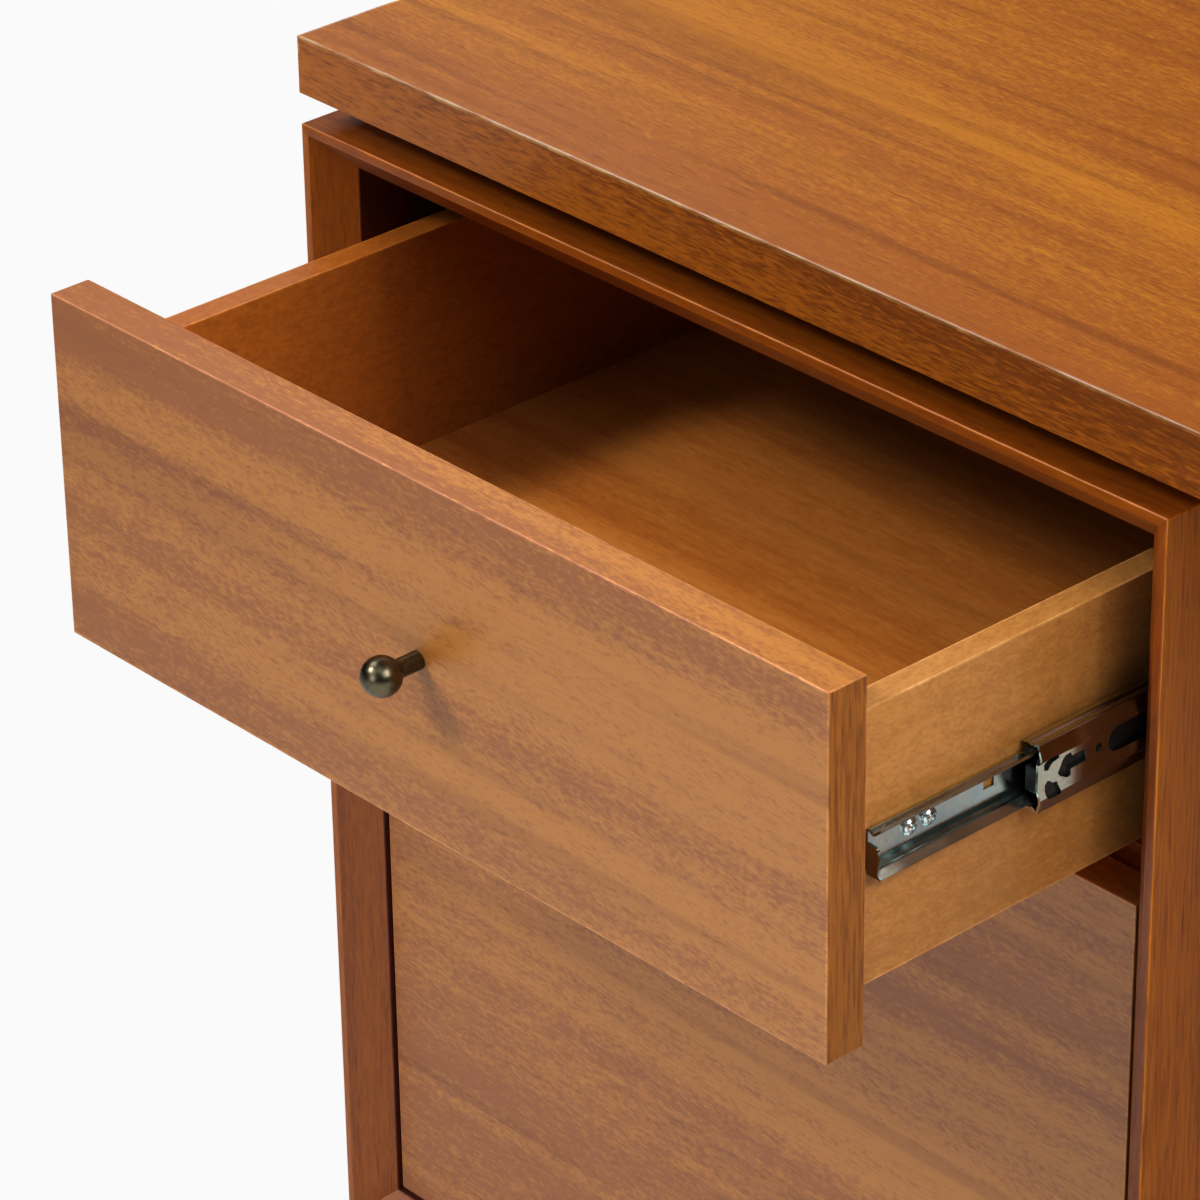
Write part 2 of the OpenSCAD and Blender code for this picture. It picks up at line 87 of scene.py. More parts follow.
# ------------------------------------------------------------------ node helpers
class Tree:
    def __init__(self, name):
        self.mat = bpy.data.materials.new(name)
        self.mat.use_nodes = True
        self.t = self.mat.node_tree
        self.t.nodes.clear()
        self.out = self.t.nodes.new("ShaderNodeOutputMaterial")
        self.bsdf = self.t.nodes.new("ShaderNodeBsdfPrincipled")
        self.link(self.bsdf.outputs[0], self.out.inputs["Surface"])

    def node(self, kind, **kw):
        n = self.t.nodes.new(kind)
        for k, v in kw.items():
            setattr(n, k, v)
        return n

    def link(self, a, b):
        self.t.links.new(a, b)

    def put(self, socket, v):
        if hasattr(v, "links"):
            self.link(v, socket)
        else:
            socket.default_value = v

    def math(self, op, a, b=None, c=None, clamp=False):
        n = self.node("ShaderNodeMath", operation=op, use_clamp=clamp)
        for i, v in enumerate((a, b, c)):
            if v is not None:
                self.put(n.inputs[i], v)
        return n.outputs[0]

    def vec(self, op, a, b=None):
        n = self.node("ShaderNodeVectorMath", operation=op)
        self.put(n.inputs[0], a)
        if b is not None:
            self.put(n.inputs[1], b)
        return n.outputs[0]

    def split(self, v):
        n = self.node("ShaderNodeSeparateXYZ")
        self.link(v, n.inputs[0])
        return n.outputs[0], n.outputs[1], n.outputs[2]

    def join(self, x, y, z):
        n = self.node("ShaderNodeCombineXYZ")
        for i, v in enumerate((x, y, z)):
            self.put(n.inputs[i], v)
        return n.outputs[0]

    def noise(self, v, scale=1.0, detail=2.0, rough=0.5, distort=0.0, colour=False):
        n = self.node("ShaderNodeTexNoise", noise_dimensions="3D")
        self.link(v, n.inputs["Vector"])
        n.inputs["Scale"].default_value = scale
        n.inputs["Detail"].default_value = detail
        n.inputs["Roughness"].default_value = rough
        n.inputs["Distortion"].default_value = distort
        return n.outputs["Color" if colour else "Fac"]

    def span(self, v, a, b, lo=0.0, hi=1.0, smooth=False):
        n = self.node("ShaderNodeMapRange", clamp=True)
        if smooth:
            n.interpolation_type = "SMOOTHSTEP"
        self.put(n.inputs["Value"], v)
        n.inputs["From Min"].default_value = a
        n.inputs["From Max"].default_value = b
        n.inputs["To Min"].default_value = lo
        n.inputs["To Max"].default_value = hi
        return n.outputs[0]

    def ramp(self, v, stops):
        n = self.node("ShaderNodeValToRGB")
        cr = n.color_ramp
        while len(cr.elements) > 1:
            cr.elements.remove(cr.elements[-1])
        for i, (p, c) in enumerate(stops):
            e = cr.elements[0] if i == 0 else cr.elements.new(p)
            e.position = p
            e.color = (*c, 1)
        self.put(n.inputs[0], v)
        return n.outputs[0]

    def mix(self, f, a, b, mode="MIX"):
        n = self.node("ShaderNodeMix", data_type="RGBA", blend_type=mode)
        self.put(n.inputs[0], f)
        for i, v in ((6, a), (7, b)):
            if hasattr(v, "links"):
                self.link(v, n.inputs[i])
            else:
                n.inputs[i].default_value = (*v, 1)
        return n.outputs[2]

    def pick(self, f, a, b):
        n = self.node("ShaderNodeMix", data_type="VECTOR")
        self.put(n.inputs[0], f)
        self.link(a, n.inputs[4])
        self.link(b, n.inputs[5])
        return n.outputs[1]

    def bump(self, h, dist, strength=1.0):
        n = self.node("ShaderNodeBump")
        self.link(h, n.inputs["Height"])
        n.inputs["Distance"].default_value = dist
        n.inputs["Strength"].default_value = strength
        self.link(n.outputs[0], self.bsdf.inputs["Normal"])


def lin(r, g, b):
    f = lambda c: (c / 255 / 12.92) if c <= 10 else ((c / 255 + 0.055) / 1.055) ** 2.4
    return (f(r), f(g), f(b))


PERM = {"x": (0, 1, 2), "y": (1, 0, 2), "z": (2, 0, 1)}
_wood_count = [0]


def wood(name, axis, end_axis, cols, seed, band=(1.4, 40.0, 0.8), wide=0.4, figure=(110.0, 400.0, 0.45),
         stipple=(330.0, 850.0, 0.45), streak=0.3, pores=(70.0, 1000.0, 0.3), fine=0.06, warp=0.003, sharp=0.42,
         edge=None, lean=None, box=None, wear_and_highlight=0.5, wear_and_highlight_col=(1.6, 1.5, 1.4), rough=0.40, coat=0.28, ior=1.46, bumpy=0.00006,
         inside=None, upper_tone_and_light=1.0, wear_and_highlight_to=0.0011, wear_and_highlight_above=None):
    """Lacquered wood.
    axis: grain; end_axis: grain of the edge band on faces that the main grain would leave as end grain.
    cols: the two tones that the ribbon figure runs between; band, figure, stipple, pores: frequency along the grain,
    across it, and amount. edge: another look for the faces whose normals are along edge["axes"]."""
    g = Tree(name)
    co = g.node("ShaderNodeTexCoord").outputs["Object"]
    nrm = g.node("ShaderNodeNewGeometry").outputs["True Normal"]
    c = g.split(co)
    nx = g.split(nrm)
    off = (seed * 1.37 + 3.1, seed * 2.11 - 1.7, seed * 0.73 + 5.3)

    def facing(axes):
        m = None
        for a in axes:
            k = g.math("GREATER_THAN", g.math("ABSOLUTE", nx["xyz".index(a)]), 0.72)
            m = k if m is None else g.math("MAXIMUM", m, k)
        return m

    def grain_space(ax, k):
        p = PERM[ax]
        return g.vec("ADD", g.join(c[p[0]], c[p[1]], c[p[2]]), (off[0] + k, off[1] - k, off[2] + 2 * k))

    def grain(v, f, detail=1.0, **kw):
        return g.noise(g.vec("MULTIPLY", v, (f[0], f[1], f[1])), detail=detail, **kw)

    half = lambda v: g.math("SUBTRACT", v, 0.5)
    V = grain_space(axis, 0.0)
    if end_axis:
        V = g.pick(facing(axis), V, grain_space(end_axis, 4.7))
    vx, vy, vz = g.split(V)
    slip = g.math("MULTIPLY", half(grain(V, (2.6, 9.0))), 2 * warp)
    W = g.join(vx, g.math("ADD", vy, slip), g.math("ADD", vz, slip))
    sheared = g.join(g.math("MULTIPLY_ADD", vy, 0.5, g.math("MULTIPLY_ADD", vz, 0.5, vx)), vy, vz)
    broad = grain(V, (0.9, 8.0))
    bands = grain(W, band, 2.0)
    flecks = grain(sheared, figure, 2.0, distort=0.4)
    dots = grain(sheared, stipple)
    lines = grain(W, (9.0, 420.0), 2.0)
    # two tones; the change from one to the other is broken up by the flecks
    t = g.math("MULTIPLY_ADD", half(bands), 2.0 * band[2], 0.5)
    t = g.math("MULTIPLY_ADD", half(broad), 2.0 * wide, t)
    t = g.math("MULTIPLY_ADD", half(flecks), 2.0 * figure[2], t)
    t = g.math("MULTIPLY_ADD", half(dots), 2.0 * stipple[2], t)
    if lean:                                        # (where the tone is even, change per metre) along x
        t = g.math("MULTIPLY_ADD", c[0], lean[1], g.math("SUBTRACT", t, lean[0] * lean[1]))
    light, dark = cols
    if upper_tone_and_light != 1.0:                                # up-facing faces are paler: partly a paler edge strip, partly painted light from above
        k = g.math("MULTIPLY_ADD", g.math("GREATER_THAN", nx[2], 0.72), upper_tone_and_light - 1.0, 1.0)
        light, dark = [g.mix(1.0, v, g.join(k, k, k), "MULTIPLY") for v in (light, dark)]
    colour = g.mix(g.span(t, 0.5 - sharp, 0.5 + sharp, smooth=True), dark, light)
    if streak:
        dusky = g.math("MULTIPLY", g.span(grain(W, (2.4, 90.0)), 0.52, 0.70, smooth=True), streak)
        colour = g.mix(dusky, colour, g.mix(1.0, colour, (0.66, 0.58, 0.58), "MULTIPLY"))
    if edge:
        ef = edge["figure"]
        curl = grain(sheared, ef, 2.0, distort=edge.get("distort", 0.6))
        curl = g.math("MULTIPLY_ADD", half(bands), 0.5, curl)
        if "lean" in edge:
            curl = g.math("MULTIPLY_ADD", c[0], edge["lean"][1], g.math("SUBTRACT", curl, edge["lean"][0] * edge["lean"][1]))
        other = g.mix(g.span(curl, edge["lo"], edge["hi"], smooth=True), edge["cols"][1], edge["cols"][0])
        colour = g.mix(facing(edge["axes"]), colour, other)
    dim = g.math("MULTIPLY_ADD", half(lines), 2.0 * fine, 1.0)
    colour = g.mix(1.0, colour, g.join(dim, dim, dim), "MULTIPLY")
    pore = g.span(grain(V, pores), 0.56, 0.74)
    thick = g.span(flecks, 0.40, 0.62, 0.25, 1.0)
    colour = g.mix(g.math("MULTIPLY", g.math("MULTIPLY", pore, thick), pores[2]), colour,
                   g.mix(1.0, colour, (0.42, 0.30, 0.25), "MULTIPLY"))
    rgh = g.math("MULTIPLY_ADD", half(lines), 0.12, rough)
    rgh = g.math("MULTIPLY_ADD", pore, 0.10, rgh)
    # lighter arrises: partly rubbed-through stain, partly a painted highlight along the edges
    if box is not None:
        lo, hi = box
        a, b, e = [g.math("MINIMUM", g.math("SUBTRACT", c[i], lo[i]), g.math("SUBTRACT", hi[i], c[i])) for i in range(3)]
        second = g.math("MAXIMUM", g.math("MINIMUM", a, b),
                        g.math("MINIMUM", g.math("MAXIMUM", a, b), e))
        edge_breakup = g.noise(g.vec("MULTIPLY", co, (60.0, 60.0, 60.0)), detail=1.0)
        wear_and_highlight_mask = g.math("MULTIPLY", g.span(second, 0.0002, wear_and_highlight_to, 1.0, 0.0, smooth=True), g.span(edge_breakup, 0.30, 0.60, 0.25, 1.0))
        if wear_and_highlight_above is not None:
            wear_and_highlight_mask = g.math("MULTIPLY", wear_and_highlight_mask, g.math("GREATER_THAN", c[2], wear_and_highlight_above))
        colour = g.mix(g.math("MULTIPLY", wear_and_highlight_mask, wear_and_highlight), colour, g.mix(1.0, colour, wear_and_highlight_col, "MULTIPLY"))
        rgh = g.math("MULTIPLY_ADD", wear_and_highlight_mask, -0.08, rgh)
    if inside:                                      # painted shade: darker where sign * (position - limit) > 0 along an axis
        k = g.math("GREATER_THAN", g.math("MULTIPLY", g.math("SUBTRACT", c[inside[0]], inside[1]), inside[2]), 0.0)
        colour = g.mix(k, colour, g.mix(1.0, colour, inside[3], "MULTIPLY"))
        rgh = g.math("MULTIPLY_ADD", k, 0.25, rgh)
    g.bsdf.inputs["Coat Weight"].default_value = coat
    g.put(g.bsdf.inputs["Base Color"], colour)
    g.put(g.bsdf.inputs["Roughness"], rgh)
    g.bsdf.inputs["IOR"].default_value = ior
    g.bsdf.inputs["Coat Roughness"].default_value = 0.26
    g.bsdf.inputs["Coat IOR"].default_value = 1.48
    g.bump(g.math("MULTIPLY", pore, -1.0), bumpy, 0.6)
    return g.mat


def metal(name, base, tint, rough, seed=0.0, spangle=0.10, scratch=0.10, dirt=(0.3, 0.25, 0.2), dirt_amount=0.25, axis="y",
          bumpy=0.00002, front_painted_shade=None):
    g = Tree(name)
    co = g.vec("ADD", g.node("ShaderNodeTexCoord").outputs["Object"], (seed, -seed, 2 * seed))
    cl = g.noise(g.vec("MULTIPLY", co, (60, 60, 60)), detail=3.0, rough=0.55)
    sp = g.noise(g.vec("MULTIPLY", co, (420, 420, 420)), detail=2.0, rough=0.5)
    p = PERM[axis]
    c = g.split(co)
    sc = g.noise(g.vec("MULTIPLY", g.join(c[p[0]], c[p[1]], c[p[2]]), (30, 2600, 2600)), detail=2.0)
    col = g.mix(g.span(cl, 0.35, 0.7), base, tint)
    col = g.mix(g.math("MULTIPLY", g.span(sp, 0.55, 0.75), dirt_amount), col, g.mix(1.0, col, dirt, "MULTIPLY"))
    rg = g.math("MULTIPLY_ADD", g.math("SUBTRACT", cl, 0.5), spangle * 2, rough)
    if front_painted_shade:                                  # painted shade: faces turned to -y are darker and rougher, their edges are not
        k = g.math("LESS_THAN", g.split(g.node("ShaderNodeNewGeometry").outputs["True Normal"])[1], -0.9)
        col = g.mix(k, col, g.mix(1.0, col, front_painted_shade, "MULTIPLY"))
        rg = g.math("MULTIPLY_ADD", k, 0.3, rg)
    g.put(g.bsdf.inputs["Base Color"], col)
    rg = g.math("MULTIPLY_ADD", g.math("SUBTRACT", sc, 0.5), scratch * 2, rg, clamp=True)
    g.put(g.bsdf.inputs["Roughness"], rg)
    g.bsdf.inputs["Metallic"].default_value = 1.0
    g.bump(g.math("MULTIPLY_ADD", sc, 0.4, sp), bumpy, 0.5)
    return g.mat


def plastic(name, base, rough, seed=0.0, grain=900.0):
    g = Tree(name)
    co = g.vec("ADD", g.node("ShaderNodeTexCoord").outputs["Object"], (seed, seed, -seed))
    a = g.noise(g.vec("MULTIPLY", co, (grain, grain, grain)), detail=2.0)
    b = g.noise(g.vec("MULTIPLY", co, (70, 70, 70)), detail=3.0)
    g.put(g.bsdf.inputs["Base Color"], g.mix(g.span(b, 0.3, 0.7), base, tuple(min(1, x * 1.6 + 0.004) for x in base)))
    g.put(g.bsdf.inputs["Roughness"], g.math("MULTIPLY_ADD", g.math("SUBTRACT", b, 0.5), 0.2, rough))
    g.bump(a, 0.00005, 0.5)
    return g.mat


# ------------------------------------------------------------------ smooth shading as a modifier, so the CAD meshes stay as they are
def smooth_group(deg):
    ng = bpy.data.node_groups.new(f"smooth_{deg}", "GeometryNodeTree")
    ng.interface.new_socket("Geometry", in_out="INPUT", socket_type="NodeSocketGeometry")
    ng.interface.new_socket("Geometry", in_out="OUTPUT", socket_type="NodeSocketGeometry")
    gi = ng.nodes.new("NodeGroupInput")
    go = ng.nodes.new("NodeGroupOutput")
    s1 = ng.nodes.new("GeometryNodeSetShadeSmooth")
    s1.domain = "FACE"
    s1.inputs["Shade Smooth"].default_value = True
    ang = ng.nodes.new("GeometryNodeInputMeshEdgeAngle")
    cmp_ = ng.nodes.new("ShaderNodeMath")
    cmp_.operation = "GREATER_THAN"
    cmp_.inputs[1].default_value = math.radians(deg)
    s2 = ng.nodes.new("GeometryNodeSetShadeSmooth")
    s2.domain = "EDGE"
    s2.inputs["Shade Smooth"].default_value = False
    L = ng.links.new
    L(gi.outputs[0], s1.inputs["Geometry"])
    L(s1.outputs[0], s2.inputs["Geometry"])
    L(ang.outputs["Unsigned Angle"], cmp_.inputs[0])
    L(cmp_.outputs[0], s2.inputs["Selection"])
    L(s2.outputs[0], go.inputs[0])
    return ng


SMOOTH = {deg: smooth_group(deg) for deg in (30, 50)}


def shade(o, deg=30, weighted=True):
    m = o.modifiers.new("smooth", "NODES")
    m.node_group = SMOOTH[deg]
    if weighted:
        m = o.modifiers.new("normals", "WEIGHTED_NORMAL")
        m.keep_sharp = True
        m.weight = 100


def arris(o, width, segments=3, deg=30):
    """Rounds the sharp edges of a board or a sheet-metal piece."""
    m = o.modifiers.new("weld", "WELD")
    m.merge_threshold = 1e-5
    m = o.modifiers.new("flat", "DECIMATE")
    m.decimate_type = "DISSOLVE"
    m.angle_limit = math.radians(0.5)
    m = o.modifiers.new("arris", "BEVEL")
    m.width = width
    m.segments = segments
    m.limit_method = "ANGLE"
    m.angle_limit = math.radians(deg)
    m.use_clamp_overlap = True
    shade(o, 50)


def link(o):
    bpy.context.scene.collection.objects.link(o)
    return o


def convex(name, planes):
    """A convex solid from half-spaces (normal, offset): n.x <= offset."""
    bm = bmesh.new()
    bmesh.ops.create_cube(bm, size=6.0)
    for n, off in planes:
        n = Vector(n).normalized()
        res = bmesh.ops.bisect_plane(bm, geom=bm.verts[:] + bm.edges[:] + bm.faces[:], dist=1e-7,
                                     plane_co=n * off, plane_no=n, clear_outer=True)
        edges = [e for e in res["geom_cut"] if isinstance(e, bmesh.types.BMEdge)]
        if edges:
            bmesh.ops.contextual_create(bm, geom=edges)
    bmesh.ops.remove_doubles(bm, verts=bm.verts[:], dist=2e-6)
    bmesh.ops.recalc_face_normals(bm, faces=bm.faces[:])
    me = bpy.data.meshes.new(name)
    for f in bm.faces:
        f.smooth = True
    bm.to_mesh(me)
    bm.free()
    return link(bpy.data.objects.new(name, me))


def round_between(n1, d1, n2, d2, r, steps=3):
    """Planes tangent to the rounding of radius r where half-spaces 1 and 2 meet."""
    n1, n2 = Vector(n1), Vector(n2)
    # axis point c with n1.c = d1 - r, n2.c = d2 - r, in the span of n1 and n2
    k = n1.dot(n2)
    a = ((d1 - r) - k * (d2 - r)) / (1 - k * k)
    b = ((d2 - r) - k * (d1 - r)) / (1 - k * k)
    c = a * n1 + b * n2
    out = []
    ang = math.acos(k)
    for i in range(1, steps + 1):
        f = i / (steps + 1)
        n = (math.sin((1 - f) * ang) * n1 + math.sin(f * ang) * n2) / math.sin(ang)
        n.normalize()
        out.append((n, n.dot(c) + r))
    return out


# ------------------------------------------------------------------ sizes repeated from the CAD source, in metres
X0, XK = -0.762, -0.305          # left case, outer and kneehole faces
YF, YB = -0.273, 0.387
Z0, Z1 = 0.202, 0.725
T, FLAT = 0.018, 0.004

# ------------------------------------------------------------------ case boards: mitred, bevelled inwards at the front
def case_board(name, side, hand):
    """side: top, bottom, outer, inner; hand: 1 for the left case, -1 for the right one."""
    xo, xk = X0, XK
    faces = {
        "top": ((0, 0, 1), Z1), "bottom": ((0, 0, -1), -Z0),
        "outer": ((-1, 0, 0), -xo), "inner": ((1, 0, 0), xk)}
    inner_n = {"top": ((0, 0, -1), -(Z1 - T)), "bottom": ((0, 0, 1), Z0 + T),
               "outer": ((1, 0, 0), xo + T), "inner": ((-1, 0, 0), -(xk - T))}
    s = math.sqrt(0.5)
    n_out, d_out = faces[side]
    planes = [faces[side], inner_n[side], ((0, -1, 0), -YF), ((0, 1, 0), YB)]
    # inward bevel: through the front plane at FLAT below the outer face, 45 degrees
    nb = (-Vector(n_out) + Vector((0, -1, 0))) * s
    p = Vector(n_out) * (d_out - FLAT) + Vector((0, YF, 0))
    db = nb.dot(p)
    planes.append((nb, db))
    # mitres
    ends = ("outer", "inner") if side in ("top", "bottom") else ("top", "bottom")
    for e in ends:
        n_e, d_e = faces[e]
        nm = (Vector(n_e) - Vector(n_out)) * s
        corner = Vector(n_e) * d_e + Vector(n_out) * d_out
        planes.append((nm, nm.dot(corner)))
        # the case's own long arris, half of it on this board
        planes += round_between(n_out, d_out, n_e, d_e, 0.0009, 5)
    R = 0.0007
    planes += round_between(n_out, d_out, (0, -1, 0), -YF, 0.0009, 4)
    planes += round_between((0, -1, 0), -YF, tuple(nb), db, R, 2)
    planes += round_between(tuple(nb), db, inner_n[side][0], inner_n[side][1], R, 2)
    planes += round_between(n_out, d_out, (0, 1, 0), YB, 0.0006, 2)
    planes += round_between(inner_n[side][0], inner_n[side][1], (0, 1, 0), YB, 0.0006, 2)
    if hand < 0:
        planes = [((-Vector(n).x, Vector(n).y, Vector(n).z), dd) for n, dd in planes]
    o = convex(name, planes)
    shade(o, 30)
    return o


# ------------------------------------------------------------------ colours of the woods
FRONT = ((0.405, 0.170, 0.033), (0.270, 0.094, 0.024))
FRONT_END = ((0.335, 0.125, 0.013), (0.185, 0.055, 0.006))
TOP = ((0.460, 0.182, 0.018), (0.315, 0.100, 0.014))
TOP_EDGE = ((0.378, 0.122, 0.008), (0.178, 0.047, 0.003))
CASE = ((0.345, 0.100, 0.004), (0.225, 0.055, 0.003))
CASE_KNEE_FRONT = ((0.300, 0.082, 0.004), (0.195, 0.045, 0.003))
CASE_KNEE = ((0.500, 0.165, 0.004), (0.360, 0.104, 0.003))
BOX = ((0.550, 0.266, 0.070), (0.430, 0.190, 0.046))
# a darker, redder copy of the box wood: painted shade on the box's left side, whose inner face lies in shade
BOX_LEFT_SHADED = ((0.445, 0.146, 0.019), (0.350, 0.104, 0.012))
PANEL = ((0.720, 0.285, 0.058), (0.550, 0.176, 0.028))

top_edge = dict(axes="xy", cols=TOP_EDGE, figure=(150.0, 1150.0), lo=0.24, hi=0.72, distort=0.5, lean=(-0.50, -0.45))
case_knee = dict(axes="x", cols=CASE_KNEE, figure=(45.0, 900.0), lo=0.30, hi=0.66, distort=0.2)
front_end = dict(axes="x", cols=FRONT_END, figure=(60.0, 900.0), lo=0.28, hi=0.70, distort=0.3)
# the fronts' up-facing faces are 1.22 times paler: partly a paler edge strip, partly painted light from above
FRONT_KW = dict(band=(1.4, 52.0, 0.85), wide=0.30, figure=(95.0, 430.0, 0.46), stipple=(340.0, 900.0, 0.66), streak=0.50,
                pores=(70.0, 1000.0, 0.25), fine=0.05, warp=0.002, edge=front_end, upper_tone_and_light=1.22, wear_and_highlight=0.75, wear_and_highlight_col=(1.7, 1.9, 3.2))
# the slab's top arris gets a near-white line: a painted highlight, partly rubbed-through stain
TOP_KW = dict(band=(1.3, 40.0, 0.6), wide=0.4, figure=(90.0, 480.0, 0.44), stipple=(300.0, 900.0, 0.48), streak=0.55,
              pores=(70.0, 1100.0, 0.60), fine=0.08, warp=0.002, edge=top_edge, wear_and_highlight=0.9, wear_and_highlight_col=(1.8, 4.0, 24.0), wear_and_highlight_to=0.0016, wear_and_highlight_above=0.755,
              lean=(-0.62, -0.5))
CASE_KW = dict(band=(1.2, 60.0, 0.6), wide=0.2, figure=(60.0, 520.0, 0.40), stipple=(200.0, 900.0, 0.30), streak=0.45,
               pores=(55.0, 900.0, 0.60), fine=0.10, wear_and_highlight=0.7, wear_and_highlight_col=(2.0, 2.3, 1.8), coat=0.10)
BOX_KW = dict(band=(2.0, 60.0, 0.25), wide=0.3, figure=(190.0, 330.0, 0.60), stipple=(420.0, 700.0, 0.50), streak=0.0,
              pores=(120.0, 800.0, 0.06), fine=0.03, wear_and_highlight=0.8, wear_and_highlight_col=(1.5, 1.75, 2.6))
PANEL_KW = dict(band=(1.2, 34.0, 0.7), wide=0.5, figure=(70.0, 300.0, 0.40), stipple=(260.0, 700.0, 0.30), streak=0.25,
                pores=(70.0, 900.0, 0.25), fine=0.06)

INSIDE_PAINTED_SHADE = (0.33, 0.14, 0.09)      # painted shade on the insides of the cases

seed = [0.0]


def nxt():
    seed[0] += 1.0
    return seed[0]


def give(o, mat):
    o.data.materials.clear()
    o.data.materials.append(mat)


for hand, side in ((1, "left"), (-1, "right")):
    for part, nm in (("top", "case_top"), ("bottom", "case_bottom"), ("outer", "case_outer_side"), ("inner", "case_inner_side")):
        node = f"{side}_{nm}"
        o = case_board(f"{node}_board", part, hand)
        ax = "x" if part in ("top", "bottom") else "z"
        kw = dict(CASE_KW)
        if part == "inner":
            kw.update(coat=0.04, ior=1.42, edge=case_knee)
        eps = 0.0004
        # painted shade on each case board's faces inside the case
        kw["inside"] = {"top": (2, Z1 - T + eps, -1), "bottom": (2, Z0 + T - eps, 1),
                        "outer": (0, hand * (X0 + T - eps), hand), "inner": (0, hand * (XK - T + eps), -hand)}[part] + (INSIDE_PAINTED_SHADE,)
        mat = wood(f"{node}_wood", ax, None, CASE_KNEE_FRONT if part == "inner" else CASE, nxt(), box=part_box(node), **kw)
        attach(o, "desk")
        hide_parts(node)
        give(o, mat)

# ------------------------------------------------------------------ boards kept from the CAD
def cad_wood(node, axis, end_axis, cols, width=0.0006, **kw):
    o = NODES[node]
    arris(o, width)
    give(o, wood(f"{node}_wood", axis, end_axis, cols, nxt(), box=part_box(node), **kw))


cad_wood("desk_top", "x", "y", TOP, 0.0013, **TOP_KW)
for s in ("left_box", "left_file", "right_box", "right_file"):
    cad_wood(f"{s}_drawer_front", "x", "z", FRONT, 0.0007, lean=(-0.50 if s.startswith("left") else 0.567, 0.9), **FRONT_KW)
    cad_wood(f"{s}_drawer_bottom", "x", None, PANEL, 0.0003, **PANEL_KW)
for s in ("left", "right"):
    cad_wood(f"{s}_case_back", "z", None, CASE, 0.0003, **CASE_KW)
    cad_wood(f"{s}_case_rail", "x", None, CASE, **CASE_KW)
    cad_wood(f"{s}_legs", "z", None, CASE, 0.0008, **CASE_KW)
cad_wood("top_battens", "x", "y", CASE, **CASE_KW)
cad_wood("modesty_panel", "x", "z", CASE, 0.0008, **CASE_KW)
cad_wood("modesty_cleats", "z", None, CASE, **CASE_KW)
# the left side takes the darker copy of the box wood: painted shade
cad_wood("left_box_drawer_left_side", "y", None, BOX_LEFT_SHADED, 0.0005, **BOX_KW)
cad_wood("left_box_drawer_right_side", "y", None, BOX, 0.0005, **BOX_KW)
for s in ("inner_front", "back"):
    cad_wood(f"left_box_drawer_{s}", "x", None, BOX, 0.0005, **BOX_KW)
for s in ("left_file", "right_box", "right_file"):
    cad_wood(f"{s}_drawer_box", "y", "x", BOX, 0.0005, **BOX_KW)

# ------------------------------------------------------------------ metals and plastics
zinc = metal("zinc_plated", (0.48, 0.59, 0.61), (0.66, 0.70, 0.60), 0.19)
# the drawer members' -y faces, the folded stop among them, carry painted shade
zinc_member = metal("zinc_drawer_member", (0.45, 0.57, 0.60), (0.60, 0.67, 0.62), 0.18, seed=5.0, front_painted_shade=(0.45, 0.26, 0.16))
# an olive copy of the zinc: partly a yellowish passivation, partly painted reflection of the wood around it
zinc_middle_reflection_tint = metal("zinc_middle_member_reflection_tint", (0.55, 0.59, 0.52), (0.68, 0.68, 0.55), 0.20, seed=9.0)
bright = metal("zinc_screw", (0.60, 0.68, 0.70), (0.74, 0.77, 0.74), 0.26, seed=2.0)
bronze = metal("antique_bronze", (0.115, 0.100, 0.066), (0.17, 0.145, 0.095), 0.30, seed=4.0, dirt_amount=0.5)
steel = metal("dark_steel", (0.10, 0.10, 0.10), (0.16, 0.15, 0.14), 0.42, seed=6.0)
glide = plastic("glide_plastic", (0.035, 0.032, 0.030), 0.55)
for n, o in NODES.items():
    if n.endswith("_slides"):
        if n.endswith("_middle_slides") or n.endswith("_drawer_slides"):
            arris(o, 0.00012, 2, 50)     # sheared edges, slightly broken
        else:
            shade(o, 30)
        give(o, zinc_middle_reflection_tint if n.endswith("_middle_slides") else zinc_member if n.endswith("_drawer_slides") else zinc)
    elif n.endswith("screws") or n.endswith("screw") or n == "leg_studs":
        give(o, bright)
    elif n.endswith("_knob"):
        give(o, bronze)
    elif n == "leg_plates":
        give(o, steel)
    elif n == "leg_glides":
        give(o, glide)

# ------------------------------------------------------------------ inside of the slides: ball cages and the black catch, which also stands in for deep shade (painted shade)
def prism(name, pts, lo, hi, place, bevel=0.0):
    """A closed prism: pts are (a, b) in mm, lo and hi the ends; place turns (a, b, h) into metres."""
    bm = bmesh.new()
    ends = [[bm.verts.new(place(a, b, h)) for a, b in pts] for h in (lo, hi)]
    bm.faces.new(ends[0])
    bm.faces.new(list(reversed(ends[1])))
    n = len(pts)
    for i in range(n):
        j = (i + 1) % n
        bm.faces.new((ends[0][j], ends[0][i], ends[1][i], ends[1][j]))
    return bm


def finish_piece(name, bms, body, mat, width=None):
    me = bpy.data.meshes.new(name)
    whole = bmesh.new()
    for bm in bms:
        bmesh.ops.recalc_face_normals(bm, faces=bm.faces[:])
        tmp = bpy.data.meshes.new("tmp")
        bm.to_mesh(tmp)
        bm.free()
        whole.from_mesh(tmp)
        bpy.data.meshes.remove(tmp)
    whole.to_mesh(me)
    whole.free()
    o = link(bpy.data.objects.new(name, me))
    if width:
        m = o.modifiers.new("arris", "BEVEL")
        m.width = width
        m.segments = 2
        m.limit_method = "ANGLE"
        m.angle_limit = math.radians(35)
    shade(o, 50)
    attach(o, body)
    give(o, mat)
    return o


def ball(bm, at, r):
    bmesh.ops.create_icosphere(bm, subdivisions=2, radius=r, matrix=Matrix.Translation(at))


